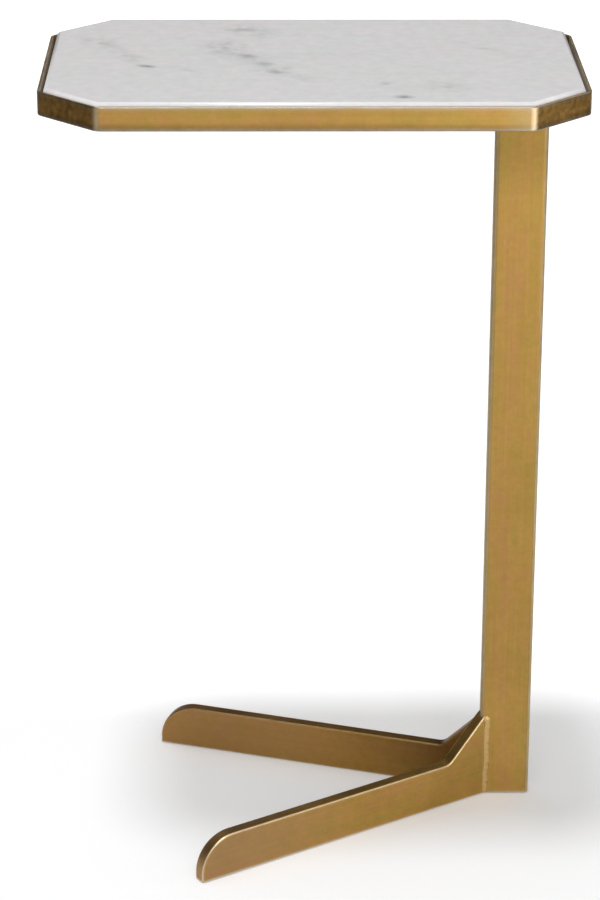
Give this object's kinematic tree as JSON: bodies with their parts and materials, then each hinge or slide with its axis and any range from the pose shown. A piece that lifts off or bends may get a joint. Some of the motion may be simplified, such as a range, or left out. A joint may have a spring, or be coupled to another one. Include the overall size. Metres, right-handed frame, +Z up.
{
  "type": "c-shaped side table",
  "caption": "C-shaped side table: cut-corner marble top set in a brass-finished rim, carried near its end by a flat post on splayed leg plates that slide under a seat.",
  "frame": {"origin": "on the floor, at the middle of the post's foot", "axes": "+Z up, +X towards the closed side of the C, so the top reaches out along -X, and +Y to the back"},
  "size_m": [0.4, 0.2807, 0.61],
  "materials": {
    "marble": "polished white marble with faint grey veins",
    "brass_finish": "antique brass finish on steel, brushed and lightly mottled",
    "plated_steel": "zinc plated",
    "setting_pad": "clear soft pad",
    "plug_plastic": "moulded insert",
    "glide": "thin dark glide"
  },
  "bodies": {
    "root": {"marble_top": "marble", "slab_pads": "setting_pad", "rim_front": "brass_finish", "rim_back": "brass_finish", "rim_left": "brass_finish", "rim_right": "brass_finish", "rim_corner_front_left": "brass_finish", "rim_corner_front_right": "brass_finish", "rim_corner_back_left": "brass_finish", "rim_corner_back_right": "brass_finish", "tray_floor": "brass_finish", "mount_plate": "brass_finish", "post_flange": "brass_finish", "flange_weld": "brass_finish", "flange_screws": "plated_steel", "flange_lock_washers": "plated_steel", "flange_washers": "plated_steel", "post_tube": "brass_finish", "post_plug": "plug_plastic", "front_leg": "brass_finish", "rear_leg": "brass_finish", "front_heel_weld": "brass_finish", "rear_heel_weld": "brass_finish", "vee_weld": "brass_finish", "front_toe_pad": "glide", "rear_toe_pad": "glide", "heel_pad": "glide"}
  },
  "joints": []
}
